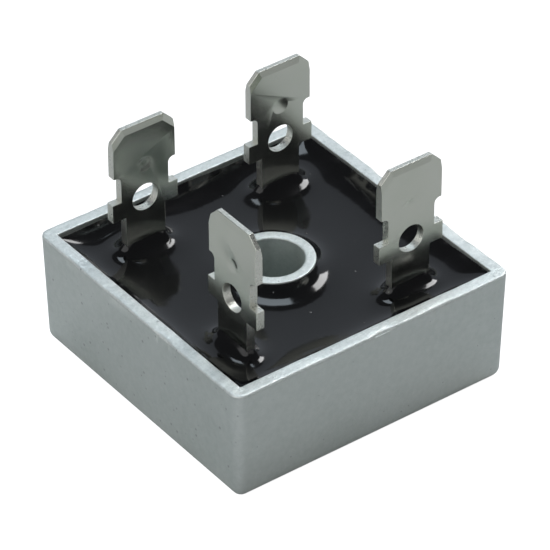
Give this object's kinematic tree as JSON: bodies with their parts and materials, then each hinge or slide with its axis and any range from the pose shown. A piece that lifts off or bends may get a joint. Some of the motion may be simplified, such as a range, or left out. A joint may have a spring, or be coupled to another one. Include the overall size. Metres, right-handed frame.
{
  "type": "bridge rectifier",
  "caption": "Square bridge rectifier: an aluminium cup with a central screw tube, filled with black resin, and upright push-on tabs, one of them turned to mark the positive side.",
  "frame": {"origin": "middle of the case's flat underside", "axes": "+Z along the screw tube, out of the resin-filled top; the positive tab stands in the corner between the -X and -Y sides, and the negative one opposite it"},
  "size_m": [0.0286, 0.0286, 0.0225],
  "materials": {
    "case": "matt, as formed, with a worn bright rim",
    "tin_plate": "half-bright tin plate over copper alloy",
    "resin": "glossy, poured",
    "alumina": "fired, matt white",
    "glue": "filled with heat-conducting powder",
    "silicon": "sawn and metallised",
    "solder": "smooth, as flowed"
  },
  "bodies": {
    "root": {"case": "case", "plate_glue": "glue", "insulating_plate": "alumina", "terminal_plus": "tin_plate", "terminal_minus": "tin_plate", "terminal_ac_left": "tin_plate", "terminal_ac_right": "tin_plate", "die_front": "silicon", "die_right": "silicon", "die_back": "silicon", "die_left": "silicon", "solder_front_lower": "solder", "solder_right_lower": "solder", "solder_back_lower": "solder", "solder_left_lower": "solder", "solder_front_upper": "solder", "solder_right_upper": "solder", "solder_back_upper": "solder", "solder_left_upper": "solder", "resin": "resin"}
  },
  "joints": []
}
